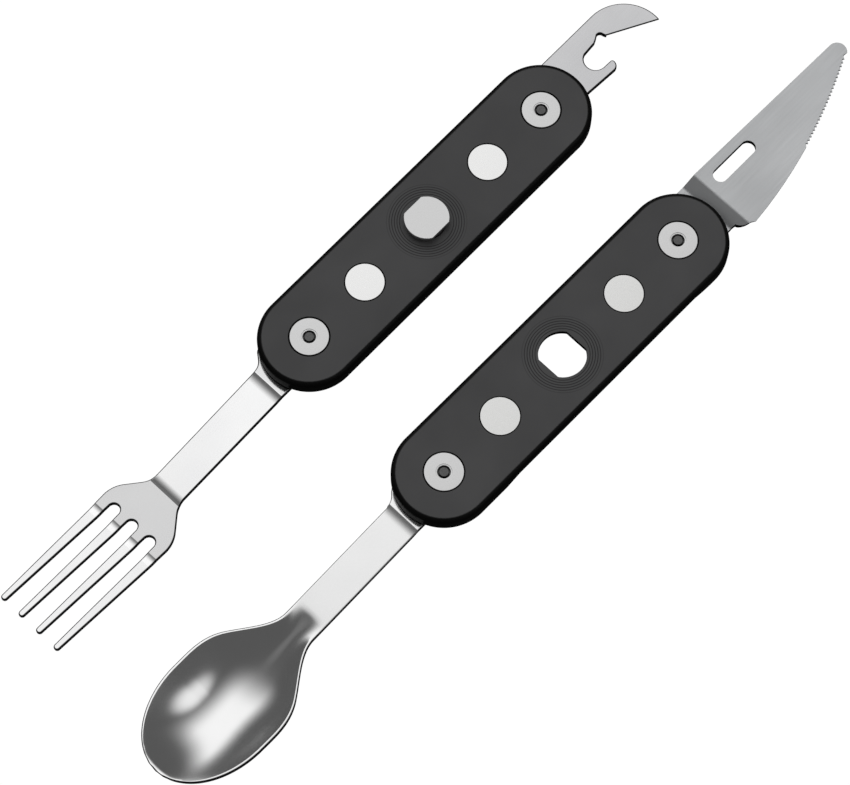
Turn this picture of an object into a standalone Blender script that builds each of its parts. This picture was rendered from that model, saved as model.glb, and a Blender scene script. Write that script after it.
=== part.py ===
"""Two-piece folding picnic cutlery: a fork and opener half, and a spoon and knife half."""

import math

import bmesh
import bpy

MM = 0.001

# Handles, shared by both halves. Heights run down from the inner face at zero.
PIVOT_SPACING = 80.5
END_RADIUS = 12.4
BODY_DEPTH = 4.5
MIDDLE_DEPTH = 2.7
PAD_REACH = 80.0
RECESS_PAD_LOW = 10.67
RECESS_PAD_HIGH = 14.4
RECESS_END_LOW = -36.0
RECESS_END_HIGH = -27.6
FACE_ROUND = 0.9
BACK_ROUND = 0.4

# Clearances
GAP = 0.3
SIDE_GAP = 0.15

# Pivot stack
WASHER_RADIUS = 4.7
WASHER_DEPTH = 1.2
WASHER_BORE = 1.55
COUNTERSINK_RADIUS = 1.8
PIN_TIP_RADIUS = 1.3
PIN_RADIUS = 2.0
PIN_HEAD_RADIUS = 3.75
PIN_HEAD_DEPTH = 0.8
FRICTION_RADIUS = 4.5
FRICTION_DEPTH = 0.4
STEEL = 1.5
TANG_TOP = -(BODY_DEPTH + GAP)
BOSS_RADIUS = 8.0

# Magnets and coupling
MAGNET_RADIUS = 4.7
MAGNET_DEPTH = 1.6
MAGNET_OFFSET = 21.3
STUD_RADIUS = 5.5
STUD_FLATS = 9.35
STUD_HEIGHT = 2.6
STUD_HEAD_DEPTH = 1.0
STUD_NECK_RADIUS = 4.5
STUD_SEAT_DEPTH = 1.4
STUD_TAIL_RADIUS = 2.5
STUD_FLANGE_RADIUS = 4.5
STUD_FLANGE_DEPTH = 0.7
SOCKET_RADIUS = 5.75
SOCKET_FLATS = 9.7
SOCKET_PLATE = 1.5
SOCKET_RELIEF_RADIUS = 6.3

# Cutlery, measured from each pivot along the handle
FORK_LENGTH = 93.4
SPOON_LENGTH = 94.85
NECK_DROP = 4.4
TINE_LIFT = 2.0
KNIFE_LIFT = 1.8
BOWL_DEPTH = 6.5
BOWL_WALL = 1.3

# Roots of the cutlery, under the handles
NECK_HALF = 4.6
FLARE_AT = (-14.2, 11.6)
FLARE_RADIUS = 6.95
ROUND_END_AT = -6.5

# Fork head
FORK_CREASES = (-14.0, -49.3, -62.0)
CREASE_HALF = 1.2
HEAD_HALF = 10.3
TINE_TIP_RADIUS = 0.8
TINE_TIP_YS = (8.65, 2.88, -2.88, -8.65)
TINE_GAP_YS = (5.8, 0.0, -5.8)
TINE_GAP_RADIUS = 1.48
TINE_ROOT = -60.2

# Opener and knife
SPINE = 9.5
SPINE_CORNER_RADIUS = 4.0
SPINE_CORNER_AT = 6.0
OPENER_LOW = -3.65
NOSE_RADIUS = 11.0
NOSE_AT = 28.9
HOOK_AT = (20.9, 0.9)
HOOK_RADIUS = 2.87
KNIFE_LOW = -6.1
KNIFE_CREASES = (12.9, 14.8)
KNIFE_CREASE_HALF = 0.3
HEEL = 17.6
EDGE_AT_HEEL = -9.5
TIP_AT = (64.85, 6.15)
TIP_RADIUS = 2.4
TOOTH_COUNT = 32
TOOTH_DEPTH = 0.45
TEETH_FROM = 40.5
TEETH_TO = 65.4
SLOT_XS = (20.7, 30.6)
SLOT_Y = 4.7
SLOT_RADIUS = 1.85

# Spoon
SPOON_CREASES = (-13.3, -47.3)
BOWL_EASE = 3.0
WIDEST_AT = -74.5
BOWL_HALF_WIDTH = 14.25
SHOULDER_FROM = -48.0
SHOULDER_MID = -61.0
SHOULDER_MID_HALF = 11.7
SHOULDER_FLARE = 0.66
DEEPEST_AT = -73.0
SINK_REACH = 29.0
SPOON_COLUMNS = 12

# Where the halves lie: the handle centre on the inner face
FACE_HEIGHT = 17.0
FORK_HALF_AT = (16.333, 23.61)
SPOON_HALF_AT = (13.773, -22.7)
SPOON_HALF_TURN = -0.54

ARC_STEP = 11.0


def clear_scene():
    for obj in list(bpy.data.objects):
        bpy.data.objects.remove(obj, do_unlink=True)


def material(name, colour, roughness, metallic):
    mat = bpy.data.materials.new(name)
    mat.use_nodes = True
    shader = mat.node_tree.nodes["Principled BSDF"]
    shader.inputs["Base Color"].default_value = (*colour, 1.0)
    shader.inputs["Roughness"].default_value = roughness
    shader.inputs["Metallic"].default_value = metallic
    mat.diffuse_color = (*colour, 1.0)
    return mat


def arc(centre, radius, start, end):
    """Points in millimetres from start to end degrees, either way round."""
    steps = max(2, math.ceil(abs(end - start) / ARC_STEP))
    points = []
    for i in range(steps + 1):
        a = math.radians(start + (end - start) * i / steps)
        points.append((centre[0] + radius * math.cos(a), centre[1] + radius * math.sin(a)))
    return points


def add_object(name, bm, parent, at=(0.0, 0.0, 0.0), mat=None, smooth=True):
    bmesh.ops.recalc_face_normals(bm, faces=bm.faces)
    bmesh.ops.scale(bm, vec=(MM, MM, MM), verts=bm.verts)
    mesh = bpy.data.meshes.new(name)
    bm.to_mesh(mesh)
    bm.free()
    if smooth:
        mesh.shade_smooth()
        mesh.set_sharp_from_angle(angle=math.radians(35))
    obj = bpy.data.objects.new(name, mesh)
    bpy.context.scene.collection.objects.link(obj)
    obj.parent = parent
    obj.location = [c * MM for c in at]
    if mat:
        mesh.materials.append(mat)
    return obj


def slab(points, bottom, top):
    """A plate with the given outline."""
    bm = bmesh.new()
    face = bm.faces.new([bm.verts.new((x, y, bottom)) for x, y in points])
    grown = bmesh.ops.extrude_face_region(bm, geom=[face])
    verts = [v for v in grown["geom"] if isinstance(v, bmesh.types.BMVert)]
    bmesh.ops.translate(bm, vec=(0.0, 0.0, top - bottom), verts=verts)
    bmesh.ops.recalc_face_normals(bm, faces=bm.faces)
    return bm


def turned(profile, segments=28):
    """A solid of revolution about Z from (radius, height) pairs, axis to axis."""
    bm = bmesh.new()
    verts = [bm.verts.new((r, 0.0, z)) for r, z in profile]
    edges = [bm.edges.new(pair) for pair in zip(verts, verts[1:])]
    bmesh.ops.spin(
        bm,
        geom=verts + edges,
        axis=(0.0, 0.0, 1.0),
        cent=(0.0, 0.0, 0.0),
        angle=math.tau,
        steps=segments,
        use_merge=True,
    )
    bmesh.ops.remove_doubles(bm, verts=bm.verts, dist=0.001)
    return bm


def ring(inner, outer, bottom, top, mouth=None):
    """A washer; mouth is the bore's radius at the top."""
    mouth = mouth or inner
    flare = mouth - inner
    points = [(inner, bottom), (outer, bottom), (outer, top), (mouth, top)]
    if flare > 0:
        points.append((inner, top - flare))
    return turned(points + [(inner, bottom)])


def bend(bm, creases, half_width):
    """Bends a plate downward or upward at creases of (x, change of slope)."""
    for x, _ in creases:
        for share in (-1.0, -0.33, 0.33, 1.0):
            geom = bm.verts[:] + bm.edges[:] + bm.faces[:]
            at = (x + share * half_width, 0.0, 0.0)
            bmesh.ops.bisect_plane(bm, geom=geom, dist=0.0001, plane_co=at, plane_no=(1.0, 0.0, 0.0))
    for v in bm.verts:
        v.co.z += sum(rise * rounded_ramp(x, v.co.x, half_width) for x, rise in creases)


def rounded_ramp(start, x, half_width):
    """How far x has gone past start, away from the origin, with a rounded onset."""
    past = abs(x) - abs(start)
    if past <= -half_width:
        return 0.0
    if past >= half_width:
        return past
    return (past + half_width) ** 2 / (4.0 * half_width)


def cut(obj, cutter_bm, name):
    """Takes the cutter's shape out of the object."""
    cutter = add_object(name, cutter_bm, obj.parent, smooth=False)
    cutter.location = obj.location
    cutter.hide_render = True
    cutter.display_type = "WIRE"
    boolean = obj.modifiers.new(name, "BOOLEAN")
    boolean.operation = "DIFFERENCE"
    boolean.solver = "EXACT"
    boolean.object = cutter
    return boolean


def moved(bm, x, y=0.0):
    bmesh.ops.translate(bm, vec=(x, y, 0.0), verts=bm.verts)
    return bm


def disc(radius, bottom, top):
    return turned([(0.0, bottom), (radius, bottom), (radius, top), (0.0, top)])


def double_d(radius, flats, along_x):
    """A circle with two flats, which run along X or along Y."""
    lean = math.degrees(math.asin(flats / 2.0 / radius))
    points = arc((0.0, 0.0), radius, -lean, lean) + arc((0.0, 0.0), radius, 180.0 - lean, 180.0 + lean)
    if along_x:
        return points
    return [(y, -x) for x, y in points]


def merge(target, source):
    """Adds a separate shape to a cutter."""
    mesh = bpy.data.meshes.new("merged")
    source.to_mesh(mesh)
    source.free()
    target.from_mesh(mesh)
    bpy.data.meshes.remove(mesh)
    return target


def handle_outline():
    half = PIVOT_SPACING / 2.0
    return arc((half, 0.0), END_RADIUS, -90.0, 90.0) + arc((-half, 0.0), END_RADIUS, 90.0, 270.0)


def knife_recess():
    """Room above the raised blade, open along both sides, with sloping ends."""
    half = PIVOT_SPACING / 2.0
    beyond = 2.0 * END_RADIUS
    low = -BODY_DEPTH - 1.0
    pad = arc((half, 0.0), RECESS_PAD_LOW, 180.0 + PAD_REACH, 180.0 - PAD_REACH)
    outline = [(RECESS_END_LOW, beyond), (RECESS_END_LOW, -beyond), (pad[0][0], -beyond)]
    bm = slab(outline + pad + [(pad[-1][0], beyond)], low, -MIDDLE_DEPTH)
    widen = RECESS_PAD_HIGH / RECESS_PAD_LOW
    for v in bm.verts:
        if v.co.z > low + 0.01:
            if v.co.x < 0.0:
                v.co.x = RECESS_END_HIGH
            else:
                v.co.x = half + (v.co.x - half) * widen
                v.co.y *= widen
    return bm


def pockets():
    """Everything sunk into the handle that both halves share."""
    cutters = []
    below = BODY_DEPTH + 1.0
    for side in (-1.0, 1.0):
        pivot = side * PIVOT_SPACING / 2.0
        seat = WASHER_DEPTH + GAP
        bore = PIN_RADIUS + GAP
        rest = FRICTION_RADIUS + GAP
        rest_depth = BODY_DEPTH - FRICTION_DEPTH - GAP
        stack = turned([
            (0.0, 1.0),
            (WASHER_RADIUS + SIDE_GAP, 1.0),
            (WASHER_RADIUS + SIDE_GAP, -seat),
            (bore, -seat),
            (bore, -rest_depth),
            (rest, -rest_depth),
            (rest, -below),
            (0.0, -below),
        ])
        cutters.append(moved(stack, pivot))
        magnet = disc(MAGNET_RADIUS + SIDE_GAP, -(MAGNET_DEPTH + GAP), 1.0)
        cutters.append(moved(magnet, side * MAGNET_OFFSET))
    joined = cutters[0]
    for other in cutters[1:]:
        merge(joined, other)
    return joined


def make_handle(name, parent, mat):
    bm = slab(handle_outline(), -BODY_DEPTH, 0.0)
    face_edges = [e for e in bm.edges if all(v.co.z > -0.01 for v in e.verts)]
    bmesh.ops.bevel(
        bm, geom=face_edges, offset=FACE_ROUND, segments=3, profile=0.5, affect="EDGES", material=-1
    )
    back = [e for e in bm.edges if all(v.co.z < -BODY_DEPTH + 0.01 for v in e.verts)]
    bmesh.ops.bevel(
        bm, geom=back, offset=BACK_ROUND, segments=1, profile=0.5, affect="EDGES", material=-1
    )
    handle = add_object(name, bm, parent, mat=mat)
    cut(handle, pockets(), name + "_pocket_cutter")
    return handle


def make_pivot(prefix, side, parent, washer_mat, pin_mat, friction_mat):
    """The washer in the inner face, the pin, and the friction washer above the tang."""
    at = (side * PIVOT_SPACING / 2.0, 0.0, 0.0)
    washer = ring(WASHER_BORE, WASHER_RADIUS, -WASHER_DEPTH, 0.0, COUNTERSINK_RADIUS)
    add_object(prefix + "_pivot_washer", washer, parent, at, washer_mat)
    shoulder = -(WASHER_DEPTH + GAP)
    seat = TANG_TOP - STEEL - GAP
    foot = seat - PIN_HEAD_DEPTH
    pin = turned([
        (0.0, -0.1),
        (PIN_TIP_RADIUS, -0.1),
        (PIN_TIP_RADIUS, shoulder),
        (PIN_RADIUS, shoulder),
        (PIN_RADIUS, seat),
        (PIN_HEAD_RADIUS, seat),
        (PIN_HEAD_RADIUS, foot + GAP),
        (PIN_HEAD_RADIUS - GAP, foot),
        (0.0, foot),
    ])
    add_object(prefix + "_pivot_pin", pin, parent, at, pin_mat)
    top = -(BODY_DEPTH - FRICTION_DEPTH)
    friction = ring(PIN_RADIUS + GAP, FRICTION_RADIUS, top - FRICTION_DEPTH, top)
    add_object(prefix + "_friction_washer", friction, parent, at, friction_mat)


def make_magnets(prefix, parent, mat, names):
    for side, word in zip((-1.0, 1.0), names):
        at = (side * MAGNET_OFFSET, 0.0, 0.0)
        add_object(prefix + "_magnet_" + word, disc(MAGNET_RADIUS, -MAGNET_DEPTH, 0.0), parent, at, mat)


def make_stud(parent, mat):
    """The coupling stud: a head with two flats on a round neck, riveted through the handle."""
    under_head = STUD_HEIGHT - STUD_HEAD_DEPTH
    flange_top = -(MIDDLE_DEPTH + GAP)
    bm = turned([
        (0.0, under_head + 0.5),
        (STUD_NECK_RADIUS, under_head + 0.5),
        (STUD_NECK_RADIUS, -STUD_SEAT_DEPTH),
        (STUD_TAIL_RADIUS, -STUD_SEAT_DEPTH),
        (STUD_TAIL_RADIUS, flange_top),
        (STUD_FLANGE_RADIUS, flange_top),
        (STUD_FLANGE_RADIUS, flange_top - STUD_FLANGE_DEPTH),
        (0.0, flange_top - STUD_FLANGE_DEPTH),
    ])
    stud = add_object("coupling_stud", bm, parent, mat=mat)
    head_bm = slab(double_d(STUD_RADIUS, STUD_FLATS, True), under_head, STUD_HEIGHT)
    rim = [e for e in head_bm.edges if all(v.co.z > STUD_HEIGHT - 0.01 for v in e.verts)]
    bmesh.ops.bevel(
        head_bm, geom=rim, offset=0.2, segments=1, profile=0.5, affect="EDGES", material=-1
    )
    head = add_object("coupling_stud_head", head_bm, parent, smooth=False)
    head.hide_render = True
    head.display_type = "WIRE"
    union = stud.modifiers.new("head", "BOOLEAN")
    union.operation = "UNION"
    union.solver = "EXACT"
    union.object = head


def stud_hole():
    """The stud's stepped hole, with a recess for its flange in the back."""
    tail = STUD_TAIL_RADIUS + GAP
    neck = STUD_NECK_RADIUS + SIDE_GAP
    flange = STUD_FLANGE_RADIUS + GAP
    seat = -(STUD_SEAT_DEPTH + GAP)
    below = -BODY_DEPTH - 1.0
    return turned([
        (0.0, 1.0),
        (neck, 1.0),
        (neck, seat),
        (tail, seat),
        (tail, -MIDDLE_DEPTH),
        (flange, -MIDDLE_DEPTH),
        (flange, below),
        (0.0, below),
    ])


def tang_bore(obj, name):
    cut(obj, disc(PIN_RADIUS + GAP, TANG_TOP - STEEL - 1.0, TANG_TOP + 1.0), name)


def boss_arc(start, end):
    return arc((0.0, 0.0), BOSS_RADIUS, start, end)


def neck_root():
    """The tang under the handle: straight on one side, flared to a stop on the other."""
    lean = math.degrees(math.asin(NECK_HALF / BOSS_RADIUS))
    flare = arc(FLARE_AT, FLARE_RADIUS, -90.0, -40.0)
    return flare, boss_arc(100.0, -180.0 + lean)


def shoulder_outline():
    """One side of the fork from its neck to its widest point."""
    return arc((-47.0, 10.5), 6.0, -90.0, -130.0) + arc((-59.0, HEAD_HALF - 7.7), 7.7, 50.0, 90.0)


def fork_outline():
    tip_x = -(FORK_LENGTH - TINE_TIP_RADIUS)
    shoulder = shoulder_outline()
    outline = list(shoulder)
    for i, y in enumerate(TINE_TIP_YS):
        outline += arc((tip_x, y), TINE_TIP_RADIUS, 90.0, 270.0)
        if i < len(TINE_GAP_YS):
            outline += arc((TINE_ROOT, TINE_GAP_YS[i]), TINE_GAP_RADIUS, 90.0, -90.0)
    outline += [(x, -y) for x, y in reversed(shoulder)]
    flare, boss = neck_root()
    outline += list(reversed(boss))
    outline += list(reversed(flare))
    return outline


def make_fork(parent, mat):
    bm = slab(fork_outline(), TANG_TOP - STEEL, TANG_TOP)
    root, head, tines = FORK_CREASES
    slope = NECK_DROP / (root - head)
    lift = TINE_LIFT / (FORK_LENGTH + tines)
    bend(bm, [(root, -slope), (head, slope), (tines, lift)], CREASE_HALF)
    fork = add_object("fork", bm, parent, (-PIVOT_SPACING / 2.0, 0.0, 0.0), mat)
    tang_bore(fork, "fork_bore_cutter")


def spine_corner():
    return arc((SPINE_CORNER_AT, SPINE - SPINE_CORNER_RADIUS), SPINE_CORNER_RADIUS, 90.0, 130.0)


def opener_outline():
    outline = [(7.1, OPENER_LOW)]
    outline += arc((22.0, -2.75), 1.75, -93.0, 10.0)
    outline += [(23.5, -2.05)]
    outline += arc(HOOK_AT, HOOK_RADIUS, 270.0, 105.0)
    outline += [(23.9, 3.97), (25.0, 4.47)]
    outline += arc((26.2, 4.2), 0.85, 125.0, 0.0)
    outline += [(27.3, 3.35)]
    outline += arc((NOSE_AT, SPINE - NOSE_RADIUS), NOSE_RADIUS, -9.5, 90.0)
    outline += spine_corner()
    outline += boss_arc(115.0, 325.0)
    return outline


def make_opener(parent, mat):
    bm = slab(opener_outline(), TANG_TOP - STEEL, TANG_TOP)
    opener = add_object("opener", bm, parent, (PIVOT_SPACING / 2.0, 0.0, 0.0), mat)
    tang_bore(opener, "opener_bore_cutter")


def edge_y(x):
    """The knife's cutting edge."""
    run = x - HEEL
    return EDGE_AT_HEEL + 0.09 * run + 0.004 * run * run


def serrations():
    """Teeth along the edge, as alternate tips and valleys."""
    points = []
    pitch = (TEETH_TO - TEETH_FROM) / TOOTH_COUNT
    for i in range(TOOTH_COUNT):
        tip = TEETH_FROM + pitch * i
        valley = tip + pitch * 0.65
        points.append((tip, edge_y(tip)))
        points.append((valley, edge_y(valley) + TOOTH_DEPTH))
    return points


def knife_outline():
    outline = [(5.1, KNIFE_LOW), (13.6, KNIFE_LOW)]
    outline += arc((16.95, -4.9), 4.6, 205.0, 262.0)[1:]
    outline += [(x, edge_y(x)) for x in (HEEL, 22.0, 26.0, 30.0, 34.0, 37.5)]
    outline += serrations()
    outline += arc(TIP_AT, TIP_RADIUS, -55.0, 90.0)
    outline += spine_corner()
    outline += boss_arc(115.0, 310.0)
    return outline


def make_knife(parent, mat):
    bm = slab(knife_outline(), TANG_TOP - STEEL, TANG_TOP)
    low, high = KNIFE_CREASES
    slope = KNIFE_LIFT / (high - low)
    bend(bm, [(low, slope), (high, -slope)], KNIFE_CREASE_HALF)
    knife = add_object("knife", bm, parent, (PIVOT_SPACING / 2.0, 0.0, 0.0), mat)
    tang_bore(knife, "knife_bore_cutter")
    near, far = SLOT_XS
    slot = arc((far, SLOT_Y), SLOT_RADIUS, -90.0, 90.0) + arc((near, SLOT_Y), SLOT_RADIUS, 90.0, 270.0)
    cut(knife, slab(slot, TANG_TOP - STEEL - 2.0, TANG_TOP + 4.0), "knife_slot_cutter")


def eased(start, end, low, high, low_slope, high_slope, x):
    """A smooth curve from low to high with the given slopes at its ends."""
    run = abs(end - start)
    t = abs(x - start) / run
    rise = low * (2.0 * t ** 3 - 3.0 * t ** 2 + 1.0) + high * (3.0 * t ** 2 - 2.0 * t ** 3)
    return rise + run * (low_slope * (t ** 3 - 2.0 * t ** 2 + t) + high_slope * (t ** 3 - t ** 2))


def spoon_half_width(x, left):
    """Distance from the centre line to the spoon's edge, x from its pivot."""
    if x > ROUND_END_AT:
        return math.sqrt(max(BOSS_RADIUS ** 2 - x * x, 0.0))
    if x > FLARE_AT[0] and left:
        return FLARE_AT[1] - math.sqrt(FLARE_RADIUS ** 2 - (x - FLARE_AT[0]) ** 2)
    if x < WIDEST_AT:
        share = 1.0 - ((x - WIDEST_AT) / (SPOON_LENGTH + WIDEST_AT)) ** 2
        return BOWL_HALF_WIDTH * math.sqrt(max(share, 0.0))
    if x < SHOULDER_MID:
        return eased(SHOULDER_MID, WIDEST_AT, SHOULDER_MID_HALF, BOWL_HALF_WIDTH, SHOULDER_FLARE, 0.0, x)
    if x < SHOULDER_FROM:
        return eased(SHOULDER_FROM, SHOULDER_MID, NECK_HALF, SHOULDER_MID_HALF, 0.0, SHOULDER_FLARE, x)
    return NECK_HALF


def bowl_sink(x):
    if x > DEEPEST_AT:
        share = max(1.0 - ((x - DEEPEST_AT) / SINK_REACH) ** 2, 0.0)
        return BOWL_DEPTH * share ** 1.5
    share = max(1.0 - ((x - DEEPEST_AT) / (SPOON_LENGTH + DEEPEST_AT)) ** 2, 0.0)
    return BOWL_DEPTH * share


def spoon_stations():
    """Places along the spoon, close together at its round ends."""
    xs = [BOSS_RADIUS * math.cos(math.radians(a)) for a in range(12, 144, 12)]
    xs += [-8.2, -9.8, -11.6, -12.8, -14.2, -15.4, -22.0, -30.0, -38.0, -44.0, -46.5]
    xs += [-49.0 - 2.0 * i for i in range(13)]
    reach = SPOON_LENGTH + WIDEST_AT
    for angle in (6, 14, 22, 30, 38, 46, 54, 62, 70, 78, 84):
        xs.append(WIDEST_AT - reach * math.sin(math.radians(angle)))
    return xs


def make_spoon(parent, mat):
    bm = bmesh.new()
    columns = SPOON_COLUMNS
    root, end = SPOON_CREASES
    slope = NECK_DROP / (root - end)
    xs = spoon_stations()
    rows = []
    for x in xs:
        left = spoon_half_width(x, True)
        right = spoon_half_width(x, False)
        base = TANG_TOP
        if x < ROUND_END_AT:
            base += slope * (rounded_ramp(end, x, BOWL_EASE) - rounded_ramp(root, x, CREASE_HALF))
        row = []
        for j in range(columns + 1):
            s = 2.0 * j / columns - 1.0
            y = s * (left if s > 0 else right)
            z = base - bowl_sink(x) * (1.0 - s * s)
            row.append(bm.verts.new((x, y, z)))
        rows.append(row)
    first = bm.verts.new((BOSS_RADIUS, 0.0, TANG_TOP))
    last = bm.verts.new((-SPOON_LENGTH, 0.0, TANG_TOP - NECK_DROP))
    for a, b in zip(rows, rows[1:]):
        for j in range(columns):
            bm.faces.new((a[j], a[j + 1], b[j + 1], b[j]))
    for j in range(columns):
        bm.faces.new((first, rows[0][j + 1], rows[0][j]))
        bm.faces.new((last, rows[-1][j], rows[-1][j + 1]))
    grown = bmesh.ops.extrude_face_region(bm, geom=bm.faces[:], use_keep_orig=True)
    lower = [v for v in grown["geom"] if isinstance(v, bmesh.types.BMVert)]
    for v in lower:
        thinning = min(bowl_sink(v.co.x) / BOWL_DEPTH, 1.0)
        v.co.z -= STEEL + (BOWL_WALL - STEEL) * thinning
    spoon = add_object("spoon", bm, parent, (-PIVOT_SPACING / 2.0, 0.0, 0.0), mat)
    tang_bore(spoon, "spoon_bore_cutter")


def half_frame(name, at, turn):
    """The empty that a whole half hangs on."""
    frame = bpy.data.objects.new(name, None)
    bpy.context.scene.collection.objects.link(frame)
    frame.location = (at[0] * MM, at[1] * MM, FACE_HEIGHT * MM)
    frame.rotation_euler = (0.0, 0.0, math.radians(turn))
    return frame


def build():
    clear_scene()
    black = material("black_shell", (0.012, 0.012, 0.013), 0.45, 0.0)
    steel = material("polished_steel", (0.62, 0.62, 0.63), 0.18, 1.0)
    blade = material("satin_steel", (0.45, 0.46, 0.47), 0.32, 1.0)
    washer = material("bright_washer", (0.60, 0.60, 0.60), 0.30, 1.0)
    magnet = material("nickel_magnet", (0.72, 0.72, 0.72), 0.28, 1.0)
    pin = material("dark_pin", (0.09, 0.09, 0.09), 0.45, 1.0)
    friction = material("friction_washer", (0.35, 0.24, 0.10), 0.5, 0.0)

    fork_half = half_frame("fork_half_frame", FORK_HALF_AT, 0.0)
    fork_handle = make_handle("fork_handle", fork_half, black)
    cut(fork_handle, stud_hole(), "stud_hole_cutter")
    make_stud(fork_half, washer)
    make_fork(fork_half, steel)
    make_opener(fork_half, blade)
    make_pivot("fork", -1.0, fork_half, washer, pin, friction)
    make_pivot("opener", 1.0, fork_half, washer, pin, friction)
    make_magnets("fork_half", fork_half, magnet, ("near_fork", "near_opener"))

    spoon_half = half_frame("spoon_half_frame", SPOON_HALF_AT, SPOON_HALF_TURN)
    spoon_handle = make_handle("spoon_handle", spoon_half, black)
    below = -BODY_DEPTH - 1.0
    cut(spoon_handle, knife_recess(), "knife_recess_cutter")
    cut(spoon_handle, slab(double_d(SOCKET_RADIUS, SOCKET_FLATS, False), below, 1.0), "socket_cutter")
    cut(spoon_handle, disc(SOCKET_RELIEF_RADIUS, below, -SOCKET_PLATE), "socket_relief_cutter")
    make_spoon(spoon_half, steel)
    make_knife(spoon_half, blade)
    make_pivot("spoon", -1.0, spoon_half, washer, pin, friction)
    make_pivot("knife", 1.0, spoon_half, washer, pin, friction)
    make_magnets("spoon_half", spoon_half, magnet, ("near_spoon", "near_knife"))


build()
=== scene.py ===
import math

import bmesh
import bpy
from mathutils import Matrix, Vector


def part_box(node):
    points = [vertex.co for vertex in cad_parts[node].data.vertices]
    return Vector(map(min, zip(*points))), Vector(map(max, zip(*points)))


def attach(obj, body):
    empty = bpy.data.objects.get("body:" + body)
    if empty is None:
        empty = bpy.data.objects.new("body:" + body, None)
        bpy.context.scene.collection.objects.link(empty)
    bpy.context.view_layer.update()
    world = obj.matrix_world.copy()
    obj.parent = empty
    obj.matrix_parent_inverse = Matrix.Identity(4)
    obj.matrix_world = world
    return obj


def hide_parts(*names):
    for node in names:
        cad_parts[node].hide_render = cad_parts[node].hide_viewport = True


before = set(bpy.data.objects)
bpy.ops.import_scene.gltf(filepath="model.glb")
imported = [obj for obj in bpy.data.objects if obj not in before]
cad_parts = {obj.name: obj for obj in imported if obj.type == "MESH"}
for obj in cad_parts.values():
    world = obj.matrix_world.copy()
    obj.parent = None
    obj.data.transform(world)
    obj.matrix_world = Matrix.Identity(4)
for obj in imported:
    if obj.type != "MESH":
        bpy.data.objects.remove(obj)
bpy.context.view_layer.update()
mm = 0.001


# where things are
def pivotOf(name):
    low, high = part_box(name + "_pivot_washer")
    return (low + high) / 2


def halfPlace(nearEnd, farEnd, handle):
    near, far = pivotOf(nearEnd), pivotOf(farEnd)
    middle = (near + far) / 2
    middle.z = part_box(handle)[1].z
    turn = math.atan2(far.y - near.y, far.x - near.x)
    return Matrix.Translation(middle) @ Matrix.Rotation(turn, 4, "Z")


forkHalf = halfPlace("fork", "opener", "fork_handle")
spoonHalf = halfPlace("spoon", "knife", "spoon_handle")
reach = (pivotOf("opener") - pivotOf("fork")).length / 2
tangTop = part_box("opener")[1].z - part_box("fork_handle")[1].z
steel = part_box("opener")[1].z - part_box("opener")[0].z


def pivotPlace(half, side):
    return half @ Matrix.Translation((side * reach, 0, 0))


# materials
def newMaterial(name, colour, roughness, metallic, specular=0.5):
    # a Principled material with its constants set
    material = bpy.data.materials.new(name)
    material.use_nodes = True
    shader = material.node_tree.nodes["Principled BSDF"]
    shader.inputs["Base Color"].default_value = (*colour, 1)
    shader.inputs["Roughness"].default_value = roughness
    shader.inputs["Metallic"].default_value = metallic
    shader.inputs["Specular IOR Level"].default_value = specular
    return material, material.node_tree, shader


def makeGrainGroup():
    # fine all-over grain: a value for colour and roughness, and a height
    group = bpy.data.node_groups.new("fineGrain", "ShaderNodeTree")
    face = group.interface
    face.new_socket("Vector", in_out="INPUT", socket_type="NodeSocketVector")
    face.new_socket("Grains per metre", in_out="INPUT", socket_type="NodeSocketFloat")
    face.new_socket("Cloud per metre", in_out="INPUT", socket_type="NodeSocketFloat")
    face.new_socket("Grain", in_out="OUTPUT", socket_type="NodeSocketFloat")
    face.new_socket("Cloud", in_out="OUTPUT", socket_type="NodeSocketFloat")
    start = group.nodes.new("NodeGroupInput")
    end = group.nodes.new("NodeGroupOutput")
    grain = group.nodes.new("ShaderNodeTexNoise")
    grain.inputs["Detail"].default_value = 3
    grain.inputs["Roughness"].default_value = 0.6
    cloud = group.nodes.new("ShaderNodeTexNoise")
    cloud.inputs["Detail"].default_value = 2
    link = group.links.new
    for texture, scale in ((grain, "Grains per metre"), (cloud, "Cloud per metre")):
        link(start.outputs["Vector"], texture.inputs["Vector"])
        link(start.outputs[scale], texture.inputs["Scale"])
    link(grain.outputs["Fac"], end.inputs["Grain"])
    link(cloud.outputs["Fac"], end.inputs["Cloud"])
    return group


def makeBrushGroup():
    # long fine lines left by a finishing belt
    group = bpy.data.node_groups.new("beltLines", "ShaderNodeTree")
    face = group.interface
    face.new_socket("Vector", in_out="INPUT", socket_type="NodeSocketVector")
    face.new_socket("Lines per metre", in_out="INPUT", socket_type="NodeSocketFloat")
    face.new_socket("Lines", in_out="OUTPUT", socket_type="NodeSocketFloat")
    start = group.nodes.new("NodeGroupInput")
    end = group.nodes.new("NodeGroupOutput")
    stretch = group.nodes.new("ShaderNodeVectorMath")
    stretch.operation = "MULTIPLY"
    stretch.inputs[1].default_value = (0.025, 1, 1)
    noise = group.nodes.new("ShaderNodeTexNoise")
    noise.inputs["Detail"].default_value = 4
    noise.inputs["Roughness"].default_value = 0.65
    link = group.links.new
    link(start.outputs["Vector"], stretch.inputs[0])
    link(stretch.outputs["Vector"], noise.inputs["Vector"])
    link(start.outputs["Lines per metre"], noise.inputs["Scale"])
    link(noise.outputs["Fac"], end.inputs["Lines"])
    return group


grainGroup = makeGrainGroup()
brushGroup = makeBrushGroup()


def objectVector(tree):
    return tree.nodes.new("ShaderNodeTexCoord").outputs["Object"]


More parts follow.
